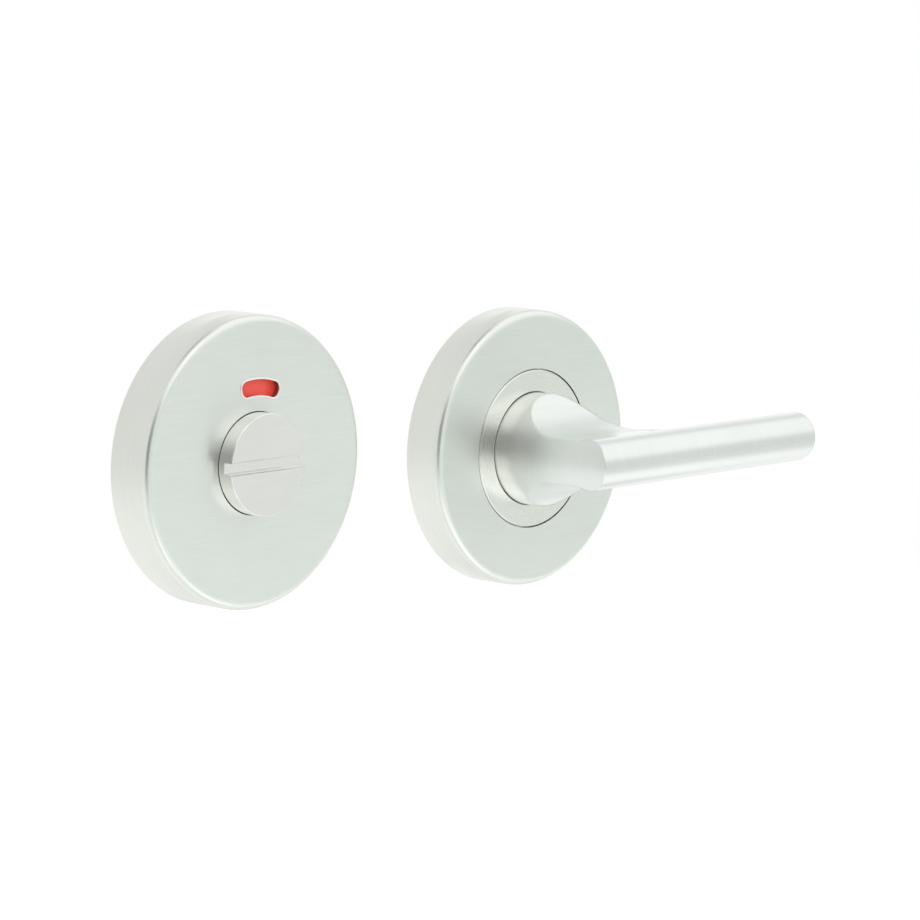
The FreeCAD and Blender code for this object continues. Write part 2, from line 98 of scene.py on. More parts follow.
class ShaderTree:
    """Node tree of a material or of the world."""

    def __init__(self, owner):
        owner.use_nodes = True
        self.tree = owner.node_tree
        self.tree.nodes.clear()

    def node(self, kind, settings=None, inputs=None, output=0):
        """Adds a node with its settings first, then its input values or links."""
        node = self.tree.nodes.new(kind)
        for name, value in (settings or {}).items():
            setattr(node, name, value)
        for name, value in (inputs or {}).items():
            if isinstance(value, Value):
                self.tree.links.new(value.socket, node.inputs[name])
            else:
                node.inputs[name].default_value = value
        return Value(self, node.outputs[output]) if node.outputs else None

    def maths(self, operation, *values):
        """Number from a Math node."""
        return self.node("ShaderNodeMath", {"operation": operation}, dict(enumerate(values)))

    def step(self, value, low, high):
        """Soft step from 0 to 1 as a value goes from low to high."""
        return self.node("ShaderNodeMapRange", {"interpolation_type": "SMOOTHSTEP"},
                         {"Value": value, "From Min": low, "From Max": high})

    def fall(self, value, low, high):
        """Soft step from 1 to 0 as a value goes from low to high."""
        return 1.0 - self.step(value, low, high)

    def between(self, factor, first, second):
        """Number that goes from first to second with the factor."""
        return self.node("ShaderNodeMix", {"data_type": "FLOAT"}, {0: factor, 2: first, 3: second})

    def colour_between(self, factor, first, second):
        """Colour that goes from first to second with the factor."""
        return self.node("ShaderNodeMix", {"data_type": "RGBA"}, {0: factor, 6: first, 7: second}, 2)

    def tinted(self, colour, tone):
        """Colour made darker or lighter by a number."""
        return self.node("ShaderNodeMix", {"data_type": "RGBA", "blend_type": "MULTIPLY"},
                         {0: 1.0, 6: colour, 7: tone}, 2)

    def split(self, vector):
        """The three numbers of a vector."""
        first = self.node("ShaderNodeSeparateXYZ", inputs={0: vector})
        return first, first.other("Y"), first.other("Z")

    def join(self, x, y, z):
        """Vector of three numbers."""
        return self.node("ShaderNodeCombineXYZ", inputs={0: x, 1: y, 2: z})

    def length(self, x, y):
        """Distance from the origin of a point in a plane."""
        return self.node("ShaderNodeVectorMath", {"operation": "LENGTH"}, {0: self.join(x, y, 0.0)}, "Value")

    def along(self, direction, axis):
        """How far a direction leans along an axis."""
        return self.node("ShaderNodeVectorMath", {"operation": "DOT_PRODUCT"},
                         {0: direction, 1: axis}, "Value")

    def noise(self, vector, scale, detail=2.0):
        """Noise from 0 to 1 over a vector."""
        return self.node("ShaderNodeTexNoise", inputs={"Vector": vector, "Scale": scale, "Detail": detail})

    def place(self):
        """Point on the object, in its own metres."""
        return self.node("ShaderNodeTexCoord", output="Object")

    def facing(self):
        """Normal in the object's own directions."""
        return self.node("ShaderNodeTexCoord", output="Normal")

    def squarely(self):
        """How squarely the surface faces the front or the door, from 0 to 1."""
        return abs(self.split(self.facing())[1])

    def rounded(self, radius, samples=6):
        """Normal of a surface whose edges are rounded by a radius."""
        return self.node("ShaderNodeBevel", {"samples": samples}, {"Radius": radius})

    def bump(self, height, depth, normal=None):
        """Normal bent by a height of 0 to 1 that stands for a depth in metres."""
        inputs = {"Strength": 1.0, "Distance": depth, "Height": height}
        if normal:
            inputs["Normal"] = normal
        return self.node("ShaderNodeBump", inputs=inputs)

    def surface(self, **values):
        """Principled surface on the material's output."""
        inputs = {name.replace("_", " "): value for name, value in values.items()}
        shader = self.node("ShaderNodeBsdfPrincipled", inputs=inputs)
        self.node("ShaderNodeOutputMaterial", inputs={0: shader})


def new_material(name):
    """Empty material and its tree."""
    material = bpy.data.materials.new(name)
    return material, ShaderTree(material)


def opaque(colour, shade=1.0):
    """Colour for a socket, made darker or lighter by a shade."""
    return tuple(channel * shade for channel in colour) + (1,)


def dress(node, material):
    """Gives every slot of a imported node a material."""
    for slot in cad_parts[node].material_slots:
        slot.material = material


def tinted_by(colour, factors):
    """Colour for a socket, with each channel multiplied by its own factor."""
    return tuple(channel * factor for channel, factor in zip(colour, factors)) + (1,)


def swing(noise, amount):
    """Noise from 0 to 1 turned into a change of half the amount either way."""
    return (noise - 0.5) * amount


# Finishes

# Share of the normal along an axis, from where a mask is empty to where it is full
FACE = (0.7, 0.95)
EDGE_BEGINS = (0.05, 0.3)
EDGE_ENDS = (0.9, 0.995)
PUNCHED_WALL = (0.3, 0.6)
# The coin slot's painted shade lies on surfaces facing the front from this share up
SHADE_FACING = (0.5, 0.8)
# Walls that face up get the knob's painted highlight from this share up
FACING_UP = (0.9, 0.98)
TURNED_TO = (0.2, 0.5)

# Radii of the softened edges, in metres
FINE_EDGE = 0.0001
KNOB_EDGE = 0.00012
LEVER_EDGE = 0.0004
HOLLOW_EDGE = 0.001
HOLLOW_SAMPLES = 12

# Brushed steel: width of a band in lines, what the marks add, and how strongly they show
BAND_WIDTH = 5
BAND_ROUGHNESS = 0.1
LINE_ROUGHNESS = 0.08
BRUSHED_TONE = 0.98
CLOUD_DETAIL = 3.0
ROSE_MARKING = 0.5
LEVER_MARKING = 0.6
COLLAR_MARKING = 0.8
ANISOTROPY = 0.7
LEVEL_GRAIN = 0.25

# Distances from the knob's axis between which the painted shade on the punched walls ends
PUNCHED_REACH = (0.018, 0.02)

# Painted shade in the coin slot, as shares of its width, of its depth and of full shade
SHADE_CORE = 0.3
SHADE_FADE_WIDTHS = 4
SHADE_FADED = 0.6
SHADE_ABOVE = 0.35
SHADE_BELOW = 0.8
SHADE_IN_CORNER = 0.3
SHADE_PATCHES = 700.0
SHADE_LEAST = 0.5
SHADE_PATCHINESS = 0.6
SLOT_MARGIN = 1.2

# Lever: blend at the grip's start, where the round neck ends, and where the hollows end before the grip
GRIP_BLEND = 0.001
NECK_END = (0.012, 0.022)
HOLLOW_END = (0.006, 0.003)

# Enamel
PEEL_SCALE = 900.0
PEEL_ROUGHNESS = 0.1
PEEL_DEPTH = 0.00001
ENAMEL_CLOUDS = 120.0
ENAMEL_SHADE = 0.88
ENAMEL_COAT = 0.3
ENAMEL_ROUGHNESS = 0.35

# Moulded and turned plastics
MOULD_GRAIN = 2600.0
MOULD_DETAIL = 4.0
MOULD_ROUGHNESS = 0.2
FLOW_SCALE = 60.0
WORN_SHADE = 1.35
NYLON_ROUGHNESS = 0.55
NYLON_GRAIN = 0.000015
ACETAL_ROUGHNESS = 0.4
ACETAL_GRAIN = 0.000004

# Zinc plate
SPANGLE_SCALE = 420.0
SPANGLE_DEPTH = 0.000004
SPANGLE_ROUGHNESS = 0.12
ZINC_ROUGHNESS = 0.3
FILM_SCALE = 140.0
FILM_DETAIL = 4.0
FILM_SHARE = 0.7
FILM_EDGE = (0.3, 0.7)
YELLOW_FILM = (1.04, 1.01, 0.95)
BLUE_FILM = (0.94, 0.98, 1.03)

# Tempered spring steel
ROLLING_LENGTH = 60
ROLLING_WIDTH = 3000
ROLLING_DEPTH = 0.000002
ROLLING_ROUGHNESS = 0.15
SPRING_ROUGHNESS = 0.28
OIL_SCALE = 150.0
OIL_EDGE = (0.4, 0.7)
BLUED = (0.75, 0.85, 1.15)

# Rolled edge of the window
LIP_MARKS = 4000.0
LIP_SHADE = 0.94
LIP_ROUGHNESS = 0.45
LIP_MARK_ROUGHNESS = 0.1


def brush(tree, settings, across, colour, roughness, marking, rounded, **more):
    """Brushed steel surface whose grain runs at right angles to the number across.

    marking is how strongly the grain shows, and rounded is the normal under the grain.
    """
    place = tree.place()
    x, _, z = tree.split(place)
    length = 1 / settings.grain_length
    width = 1 / settings.grain_width
    lines = tree.noise(tree.join(x * length, z * length, across * width), 1.0, 1.0)
    bands = tree.noise(tree.join(x * length, z * length, across * (width / BAND_WIDTH)), 1.0)
    clouds = tree.noise(place, settings.cloud_scale, CLOUD_DETAIL)
    tone = swing(lines, settings.grain_contrast * marking) + swing(clouds, settings.cloud_contrast)
    marks = swing(bands, BAND_ROUGHNESS * marking) + swing(lines, LINE_ROUGHNESS * marking)
    tree.surface(Base_Color=tree.tinted(colour, BRUSHED_TONE + tone), Metallic=1.0,
                 Roughness=roughness + marks,
                 Normal=tree.bump(lines, settings.grain_depth * marking, rounded), **more)


def cover_steel(settings):
    """Covers: level grain on the face, grain round the rim and a smoother edge between.

    The punched walls of the window and the knob's hole are painted dark as painted shade, and the rims and
    rounded edges get a lighter colour than the faces as painted light.
    """
    material, tree = new_material("brushed_cover")
    x, y, z = tree.split(tree.place())
    facing = tree.squarely()
    face = tree.step(facing, *FACE)
    edge = tree.step(facing, *EDGE_BEGINS) * tree.fall(facing, *EDGE_ENDS)
    radius = tree.length(x - RELEASE_CENTRE.x, z - RELEASE_CENTRE.z)
    # Painted shade: the punched walls of the window and the knob's hole are darkened.
    punched = tree.fall(facing, *PUNCHED_WALL) * tree.fall(radius, *PUNCHED_REACH)
    # Painted light: the rims and rounded edges get a lighter colour than the faces.
    brushed = tree.colour_between(face, opaque(settings.lit_rim_colour), opaque(settings.cover_colour))
    colour = tree.colour_between(punched, brushed, opaque(settings.punched_shade_colour))
    satin = tree.between(face, settings.rim_roughness, settings.cover_roughness)
    roughness = tree.between(edge, satin, settings.edge_roughness)
    brush(tree, settings, tree.between(face, y, z), colour, roughness, ROSE_MARKING,
          tree.rounded(FINE_EDGE), Anisotropic=ANISOTROPY, Anisotropic_Rotation=LEVEL_GRAIN)
    return material


def knob_steel(settings, slot):
    """Knob: level grain on the face, a darker painted shade on its side, painted shade along the edges and
    in the corners of the coin slot, and a painted highlight on walls that face up.
    """
    material, tree = new_material("brushed_knob")
    x, y, z = tree.split(tree.place())
    _, normal_y, normal_z = tree.split(tree.facing())
    facing = abs(normal_y)
    height = z - RELEASE_CENTRE.z
    depth = y - KNOB_FACE
    # Painted shade along the coin slot's edges and in its corners: stronger along the lower edge, weaker
    # deeper in and towards the right, and broken up by noise.
    from_edge = abs(abs(height) - slot.slot_width / 2)
    line = tree.fall(from_edge, slot.shade_width * SHADE_CORE, slot.shade_width)
    below = tree.fall(height, -slot.shade_width, slot.shade_width)
    on_face = tree.between(below, SHADE_ABOVE, SHADE_BELOW)
    behind = tree.step(depth, slot.shade_width, 2 * slot.shade_width)
    rightwards = tree.step(x - RELEASE_CENTRE.x, 0.0, slot.slot_width * SHADE_FADE_WIDTHS)
    patchy = tree.noise(tree.place(), SHADE_PATCHES) * SHADE_PATCHINESS + SHADE_LEAST
    amount = tree.between(behind, on_face, SHADE_IN_CORNER) * patchy
    in_slot = tree.fall(depth, slot.slot_depth, slot.slot_depth * SLOT_MARGIN)
    slot_shade = line * (1.0 - rightwards * SHADE_FADED) * amount * in_slot * tree.step(facing, *SHADE_FACING)
    face = tree.step(facing, *FACE)
    # Painted highlight: walls that face up, such as the coin slot's lower wall and the top of the knob's
    # side, are painted white.
    upward_highlight = tree.step(normal_z, *FACING_UP) * tree.step(depth, 0.0, FINE_EDGE)
    # The knob's side gets a darker, warmer colour than its face, as painted shade.
    side = tree.colour_between(upward_highlight, opaque(settings.knob_side_shade_colour), WHITE)
    unshaded = tree.colour_between(face, side, opaque(settings.knob_colour))
    colour = tree.colour_between(slot_shade, unshaded, opaque(settings.slot_shade_colour))
    roughness = tree.between(face, settings.knob_side_roughness, settings.turned_roughness)
    brush(tree, settings, tree.between(face, y, z), colour, roughness, ROSE_MARKING,
          tree.rounded(KNOB_EDGE))
    return material


def collar_steel(settings):
    """Collar: grain in circles round the neck."""
    material, tree = new_material("turned_collar")
    x, y, z = tree.split(tree.place())
    face = tree.step(tree.squarely(), *FACE)
    radius = tree.length(x - TURN_CENTRE.x, z - TURN_CENTRE.z)
    brush(tree, settings, tree.between(face, y, radius), opaque(settings.collar_colour),
          settings.collar_roughness, COLLAR_MARKING, tree.rounded(FINE_EDGE))
    return material


def lever_steel(settings):
    """Lever: grain round the neck, painted shade on the neck's left side, and a smoother grip with grain
    round it.
    """
    material, tree = new_material("brushed_lever")
    x, y, _ = tree.split(tree.place())
    rightward, backward, _ = tree.split(tree.facing())
    facing_left = tree.step(0.0 - rightward, *TURNED_TO)
    facing_front = tree.step(0.0 - backward, *TURNED_TO)
    depth = 0.0 - y
    start = settings.grip_start
    grip = tree.step(depth, start - GRIP_BLEND, start + GRIP_BLEND) * (1.0 - facing_left)
    # Painted shade: the neck's round side that faces left, near the door, gets a darker, warmer colour.
    neck = facing_left * (1.0 - facing_front) * tree.fall(depth, *NECK_END)
    colour = tree.colour_between(neck, opaque(settings.lever_colour), opaque(settings.neck_shade_colour))
    roughness = tree.between(grip, settings.neck_roughness, settings.grip_roughness)
    soft = tree.fall(depth, start - HOLLOW_END[0], start - HOLLOW_END[1])
    normal = tree.node("ShaderNodeMix", {"data_type": "VECTOR"}, {
        0: soft,
        4: tree.rounded(LEVER_EDGE),
        5: tree.rounded(HOLLOW_EDGE, HOLLOW_SAMPLES),
    }, 1)
    brush(tree, settings, tree.between(grip, y, x), colour, roughness, LEVER_MARKING, normal)
    return material


def enamel(name, colour, glow=(0, 0, 0)):
    """Baked enamel with a faint orange peel, and an emission that paints extra light on it."""
    material, tree = new_material(name)
    place = tree.place()
    peel = tree.noise(place, PEEL_SCALE)
    clouds = tree.noise(place, ENAMEL_CLOUDS)
    shade = tree.colour_between(clouds, opaque(colour, ENAMEL_SHADE), opaque(colour))
    # Painted light: the emission brightens the enamel; only the occupied red field in its recess is given
    # any.
    tree.surface(Base_Color=shade, Roughness=ENAMEL_ROUGHNESS + swing(peel, PEEL_ROUGHNESS),
                 Coat_Weight=ENAMEL_COAT, Emission_Color=opaque(glow), Emission_Strength=1.0,
                 Normal=tree.bump(peel, PEEL_DEPTH))
    return material


def moulded(name, colour, roughness, grain_depth):
    """Moulded plastic with a fine spark-eroded texture and paler flow patches."""
    material, tree = new_material(name)
    place = tree.place()
    grain = tree.noise(place, MOULD_GRAIN, MOULD_DETAIL)
    flow = tree.noise(place, FLOW_SCALE, CLOUD_DETAIL)
    shade = tree.colour_between(flow, opaque(colour), opaque(colour, WORN_SHADE))
    tree.surface(Base_Color=shade, Roughness=roughness + swing(grain, MOULD_ROUGHNESS),
                 Normal=tree.bump(grain, grain_depth))
    return material


def zinc_plate(name, colour):
    """Bright zinc with a soft spangle and a slightly yellow and blue passivation."""
    material, tree = new_material(name)
    place = tree.place()
    spangle = tree.node("ShaderNodeTexVoronoi", inputs={"Vector": place, "Scale": SPANGLE_SCALE},
                        output="Color")
    red, green, _ = tree.split(spangle)
    film = tree.noise(place, FILM_SCALE, FILM_DETAIL) * FILM_SHARE + green * (1 - FILM_SHARE)
    shade = tree.colour_between(tree.step(film, *FILM_EDGE), tinted_by(colour, YELLOW_FILM),
                                tinted_by(colour, BLUE_FILM))
    tree.surface(Base_Color=shade, Metallic=1.0, Roughness=ZINC_ROUGHNESS + red * SPANGLE_ROUGHNESS,
                 Normal=tree.bump(green, SPANGLE_DEPTH))
    return material


def spring_temper(name, colour):
    """Dark tempered spring steel with oil and rolling marks."""
    material, tree = new_material(name)
    place = tree.place()
    x, y, z = tree.split(place)
    rolled = tree.noise(tree.join(x * ROLLING_LENGTH, y * ROLLING_WIDTH, z * ROLLING_WIDTH), 1.0,
                        CLOUD_DETAIL)
    oil = tree.noise(place, OIL_SCALE, CLOUD_DETAIL)
    shade = tree.colour_between(tree.step(oil, *OIL_EDGE), opaque(colour), tinted_by(colour, BLUED))
    tree.surface(Base_Color=shade, Metallic=1.0,
                 Roughness=SPRING_ROUGHNESS + swing(rolled, ROLLING_ROUGHNESS),
                 Normal=tree.bump(rolled, ROLLING_DEPTH))
    return material


def lip_steel(lip):
    """Polished steel of the window's rolled edge, slightly dulled, in a near-white colour that paints a
    highlight on it.
    """
    material, tree = new_material("lip_steel")
    marks = tree.noise(tree.place(), LIP_MARKS)
    shade = tree.colour_between(marks, opaque(lip.bead_highlight_colour, LIP_SHADE), opaque(lip.bead_highlight_colour))
    tree.surface(Base_Color=shade, Metallic=1.0,
                 Roughness=LIP_ROUGHNESS + swing(marks, LIP_MARK_ROUGHNESS))
    return material


# Window lip

# Points along each long side and each corner of the window, and sides of the bead
SIDE_POINTS = 40
CORNER_POINTS = 12
BEAD_SIDES = 14


def kidney_outline(lip):
    """Points round the indicator window's edge, in the plane of the rose."""
    inner = lip.centre_radius - lip.height / 2
    outer = lip.centre_radius + lip.height / 2
    half_angle = lip.length / 2 / lip.centre_radius
    corner = lip.corner_radius
    points = []

    def arc(centre_radius, centre_angle, radius, start, end, count):
        middle = Vector((centre_radius * math.sin(centre_angle), centre_radius * math.cos(centre_angle)))
        for step in range(count):
            angle = start + (end - start) * step / count
            points.append(middle + Vector((radius * math.sin(angle), radius * math.cos(angle))))

    out_turn = math.asin(corner / (outer - corner))
    in_turn = math.asin(corner / (inner + corner))
    out_angle = half_angle - out_turn
    in_angle = half_angle - in_turn
    quarter = math.pi / 2
    arc(0, 0, outer, -out_angle, out_angle, SIDE_POINTS)
    arc(outer - corner, out_angle, corner, out_angle, half_angle + quarter, CORNER_POINTS)
    arc(inner + corner, in_angle, corner, half_angle + quarter, in_angle + 2 * quarter, CORNER_POINTS)
    arc(0, 0, inner, in_angle, -in_angle, SIDE_POINTS)
    arc(inner + corner, -in_angle, corner, -in_angle + 2 * quarter, -half_angle + 3 * quarter,
        CORNER_POINTS)
    arc(outer - corner, -out_angle, corner, -half_angle - quarter, -out_angle, CORNER_POINTS)
    turn = Matrix.Rotation(-lip.tilt, 2)
    return [turn @ point for point in points]


def swept_loop(name, path, radius, depth):
    """Closed round bead along a path in the plane of the rose, at a depth along Y."""
    mesh = bmesh.new()
    count = len(path)
    rings = []
    for index, point in enumerate(path):
        along = (path[(index + 1) % count] - path[index - 1]).normalized()
        across = Vector((along.y, -along.x))
        ring = []
        for side in range(BEAD_SIDES):
            angle = 2 * math.pi * side / BEAD_SIDES
            shift = across * (radius * math.cos(angle))
            ring.append(mesh.verts.new((point.x + shift.x, depth + radius * math.sin(angle),
                                        point.y + shift.y)))
        rings.append(ring)
    for index, ring in enumerate(rings):
        following = rings[(index + 1) % count]
        for side in range(BEAD_SIDES):
            after = (side + 1) % BEAD_SIDES
            mesh.faces.new((ring[side], ring[after], following[after], following[side]))
    bmesh.ops.recalc_face_normals(mesh, faces=mesh.faces)
    data = bpy.data.meshes.new(name)
    mesh.to_mesh(data)
    mesh.free()
    data.shade_smooth()
    piece = bpy.data.objects.new(name, data)
    bpy.context.scene.collection.objects.link(piece)
    return piece


# Settings

class SteelSettings(bpy.types.PropertyGroup):
    """Brushed stainless steel of the parts that show."""

    cover_colour: bpy.props.FloatVectorProperty(
        name="Cover colour", description="Faces of the covers", subtype="COLOR", min=0, max=1,
        default=(0.83, 0.89, 0.83))
    # Painted shade on the punched walls of the window and the knob's hole.
    punched_shade_colour: bpy.props.FloatVectorProperty(
        name="Punched colour", description="Walls of the window and the knob's hole", subtype="COLOR",
        min=0, max=1, default=(0.3, 0.28, 0.27))
    # Lighter colour of the rims than the faces, as painted light.
    lit_rim_colour: bpy.props.FloatVectorProperty(
        name="Rim colour", description="Rims of the covers", subtype="COLOR", min=0, max=1,
        default=(0.892, 0.92, 0.858))
    knob_colour: bpy.props.FloatVectorProperty(
        name="Knob colour", description="Coin release knob", subtype="COLOR", min=0, max=1,
        default=(0.92, 0.955, 0.895))
    # Darker, warmer colour of the knob's side than its face, as painted shade.
    knob_side_shade_colour: bpy.props.FloatVectorProperty(
        name="Knob side colour", description="Turned side of the knob", subtype="COLOR", min=0, max=1,
        default=(0.93, 0.908, 0.885))
    collar_colour: bpy.props.FloatVectorProperty(
        name="Collar colour", description="Collar round the neck", subtype="COLOR", min=0, max=1,
        default=(0.885, 0.93, 0.86))
    lever_colour: bpy.props.FloatVectorProperty(
        name="Lever colour", description="Neck and grip", subtype="COLOR", min=0, max=1,
        default=(0.862, 0.9, 0.868))
    # Darker, warmer colour of the neck's left side, as painted shade.
    neck_shade_colour: bpy.props.FloatVectorProperty(
        name="Neck colour", description="Round side of the neck", subtype="COLOR", min=0, max=1,
        default=(0.88, 0.873, 0.852))
    # Colour of the painted shade in the coin slot's corners and along its edges.
    slot_shade_colour: bpy.props.FloatVectorProperty(
        name="Soil colour", description="Dirt settled in corners", subtype="COLOR", min=0, max=1,
        default=(0.3, 0.31, 0.29))
    cover_roughness: bpy.props.FloatProperty(
        name="Cover roughness", description="Faces of the covers", default=0.38, min=0, max=1,
        subtype="FACTOR")
    rim_roughness: bpy.props.FloatProperty(
        name="Rim roughness", description="Rims of the covers", default=0.34, min=0, max=1,
        subtype="FACTOR")
    edge_roughness: bpy.props.FloatProperty(
        name="Edge roughness", description="Rounded edges of the covers", default=0.27, min=0,
        max=1, subtype="FACTOR")
    turned_roughness: bpy.props.FloatProperty(
        name="Turned roughness", description="Face of the knob", default=0.21, min=0, max=1,
        subtype="FACTOR")
    knob_side_roughness: bpy.props.FloatProperty(
        name="Knob side roughness", description="Turned side of the knob", default=0.13, min=0,
        max=1, subtype="FACTOR")
    collar_roughness: bpy.props.FloatProperty(
        name="Collar roughness", description="Collar round the neck", default=0.27, min=0, max=1,
        subtype="FACTOR")
    neck_roughness: bpy.props.FloatProperty(
        name="Neck roughness", description="Neck of the lever", default=0.3, min=0, max=1,
        subtype="FACTOR")
    grip_roughness: bpy.props.FloatProperty(
        name="Grip roughness", description="Grip of the lever", default=0.2, min=0, max=1,
        subtype="FACTOR")
    grip_start: bpy.props.FloatProperty(
        name="Grip start", description="Depth in front of the door where the grip begins",
        default=0.0255, unit="LENGTH")
    grain_length: bpy.props.FloatProperty(
        name="Grain length", description="Length of a brush mark", default=0.008, unit="LENGTH")
    grain_width: bpy.props.FloatProperty(
        name="Grain width", description="Width of a brush mark", default=0.0003, unit="LENGTH")
    grain_depth: bpy.props.FloatProperty(
        name="Grain depth", description="Depth of a brush mark", default=0.000001, unit="LENGTH")
    grain_contrast: bpy.props.FloatProperty(
        name="Grain contrast", description="Change of tone between brush marks", default=0.12)
    cloud_scale: bpy.props.FloatProperty(
        name="Cloud scale", description="Number of broad patches in a metre", default=60.0)
    cloud_contrast: bpy.props.FloatProperty(
        name="Cloud contrast", description="Change of tone between broad patches", default=0.08)


class ColourSettings(bpy.types.PropertyGroup):
    """Colours of the enamels, plastics and hidden metals."""

    occupied: bpy.props.FloatVectorProperty(
        name="Occupied", description="Enamel that shows in the window when locked",
        subtype="COLOR", min=0, max=1, default=(1.0, 0.1, 0.07))
    # Glow of painted light that brightens the occupied red field.
    occupied_painted_glow: bpy.props.FloatVectorProperty(
        name="Occupied glow", description="Glow of the fluorescent red pigment", subtype="COLOR",
        min=0, max=1, default=(0.13, 0.008, 0.004))
    vacant: bpy.props.FloatVectorProperty(
        name="Vacant", description="Enamel of the rest of the indicator disc", subtype="COLOR",
        min=0, max=1, default=(0.95, 0.95, 0.93))
    nylon: bpy.props.FloatVectorProperty(
        name="Nylon", description="Moulded carriers", subtype="COLOR", min=0, max=1,
        default=(0.05, 0.05, 0.055))
    acetal: bpy.props.FloatVectorProperty(
        name="Acetal", description="Bearing bushes", subtype="COLOR", min=0, max=1,
        default=(0.75, 0.74, 0.7))
    zinc: bpy.props.FloatVectorProperty(
        name="Zinc", description="Plated fixing plates", subtype="COLOR", min=0, max=1,
        default=(0.62, 0.64, 0.66))
    spring: bpy.props.FloatVectorProperty(
        name="Spring steel", description="Washers and retaining rings", subtype="COLOR", min=0,
        max=1, default=(0.3, 0.3, 0.32))


class LipSettings(bpy.types.PropertyGroup):
    """Window opening and the bead round it."""

    centre_radius: bpy.props.FloatProperty(
        name="Centre radius", description="Radius of the window's middle line", default=0.01335,
        unit="LENGTH")
    length: bpy.props.FloatProperty(
        name="Length", description="Length along the middle line", default=0.00935,
        unit="LENGTH")
    height: bpy.props.FloatProperty(
        name="Height", description="Height across the middle line", default=0.00315, unit="LENGTH")
    corner_radius: bpy.props.FloatProperty(
        name="Corner radius", description="Radius of the four corners", default=0.0014,
        unit="LENGTH")
    tilt: bpy.props.FloatProperty(
        name="Tilt", description="Turn of the window to the right of the top", subtype="ANGLE",
        default=math.radians(4))
    bead_radius: bpy.props.FloatProperty(
        name="Bead radius", description="Radius of the rolled edge", default=0.00019,
        unit="LENGTH")
    # Near-white colour of the bead, brighter than the cover's steel, as a painted highlight.
    bead_highlight_colour: bpy.props.FloatVectorProperty(
        name="Bead colour", description="Polished steel of the rolled edge", subtype="COLOR", min=0,
        max=1, default=(1.0, 0.98, 0.97))


class SlotSettings(bpy.types.PropertyGroup):
    """Coin slot of the knob and the shade painted into it."""

    slot_width: bpy.props.FloatProperty(
        name="Slot width", description="Width of the coin slot", default=0.002, unit="LENGTH")
    slot_depth: bpy.props.FloatProperty(
        name="Slot depth", description="Depth of the coin slot", default=0.00175, unit="LENGTH")
    # Reach of the painted shade from an edge of the coin slot.
    shade_width: bpy.props.FloatProperty(
        name="Soil width", description="Reach of the dirt from an edge", default=0.00028,
        unit="LENGTH")


class StageSettings(bpy.types.PropertyGroup):
    """Camera, floor and light."""

    azimuth: bpy.props.FloatProperty(
        name="Azimuth", description="Camera direction round the set", subtype="ANGLE",
        default=math.radians(-47.13))
    elevation: bpy.props.FloatProperty(
        name="Elevation", description="Camera height angle", subtype="ANGLE",
        default=math.radians(8.06))
    roll: bpy.props.FloatProperty(
        name="Roll", description="Camera roll", subtype="ANGLE", default=math.radians(0.71))
    distance: bpy.props.FloatProperty(
        name="Distance", description="Camera distance along its line of sight", default=0.74627,
        unit="LENGTH")
    shift_right: bpy.props.FloatProperty(
        name="Sideways", description="Camera moved to its right", default=0.01707, unit="LENGTH")
    shift_up: bpy.props.FloatProperty(
        name="Upwards", description="Camera moved up", default=-0.00383, unit="LENGTH")
    lens: bpy.props.FloatProperty(
        name="Lens", description="Focal length in millimetres", default=160.03)
    floor_gap: bpy.props.FloatProperty(
        name="Floor gap", description="Height of the lower rose over the floor", default=0.12,
        unit="LENGTH")
    ambient: bpy.props.FloatProperty(
        name="Ambient", description="Even light of the room", default=0.8)
    key_power: bpy.props.FloatProperty(
        name="Key power", description="Power of the large soft lamp in watts", default=6.5)


# Operators

class CoverFinish(bpy.types.Operator):
    """Brush the two pressed covers."""

    bl_idname = "turnset.cover_finish"
    bl_label = "Finish covers"

    def execute(self, context):
        steel = context.scene.turnset_steel
        material = cover_steel(steel)
        dress("release_cover", material)
        dress("turn_cover", material)
        return {"FINISHED"}


class WindowLip(bpy.types.Operator):
    """Build the rolled edge round the indicator window."""

    bl_idname = "turnset.window_lip"
    bl_label = "Build window lip"

    def execute(self, context):
        lip = context.scene.turnset_lip
        path = [Vector((RELEASE_CENTRE.x + p.x, RELEASE_CENTRE.z + p.y)) for p in kidney_outline(lip)]
        piece = swept_loop("window_lip", path, lip.bead_radius, RELEASE_FACE)
        piece.data.materials.append(lip_steel(lip))
        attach(piece, "root")
        return {"FINISHED"}


class ReleaseFinish(bpy.types.Operator):
    """Brush the coin release knob and paint the indicator."""

    bl_idname = "turnset.release_finish"
    bl_label = "Finish release"

    def execute(self, context):
        steel = context.scene.turnset_steel
        colours = context.scene.turnset_colours
        dress("release_knob", knob_steel(steel, context.scene.turnset_slot))
        dress("indicator_disc", enamel("vacant_enamel", colours.vacant))
        dress("occupied_field", enamel("occupied_enamel", colours.occupied, colours.occupied_painted_glow))
        return {"FINISHED"}


class TurnFinish(bpy.types.Operator):
    """Brush the lever and the collar round its neck."""

    bl_idname = "turnset.turn_finish"
    bl_label = "Finish turn"

    def execute(self, context):
        steel = context.scene.turnset_steel
        dress("turn_lever", lever_steel(steel))
        dress("turn_collar", collar_steel(steel))
        return {"FINISHED"}


class WorksFinish(bpy.types.Operator):
    """Finish the parts behind the covers."""

    bl_idname = "turnset.works_finish"
    bl_label = "Finish works"

    def execute(self, context):
        colours = context.scene.turnset_colours
        nylon = moulded("carrier_nylon", colours.nylon, NYLON_ROUGHNESS, NYLON_GRAIN)
        acetal = moulded("turned_acetal", colours.acetal, ACETAL_ROUGHNESS, ACETAL_GRAIN)
        zinc = zinc_plate("zinc_plate", colours.zinc)
        spring = spring_temper("spring_steel", colours.spring)
        for rose in ("release", "turn"):
            dress(rose + "_carrier", nylon)
            dress(rose + "_bush", acetal)
            dress(rose + "_fixing_plate", zinc)
            for part in ("_spring_washer", "_thrust_washer", "_retaining_ring"):
                dress(rose + part, spring)
        return {"FINISHED"}


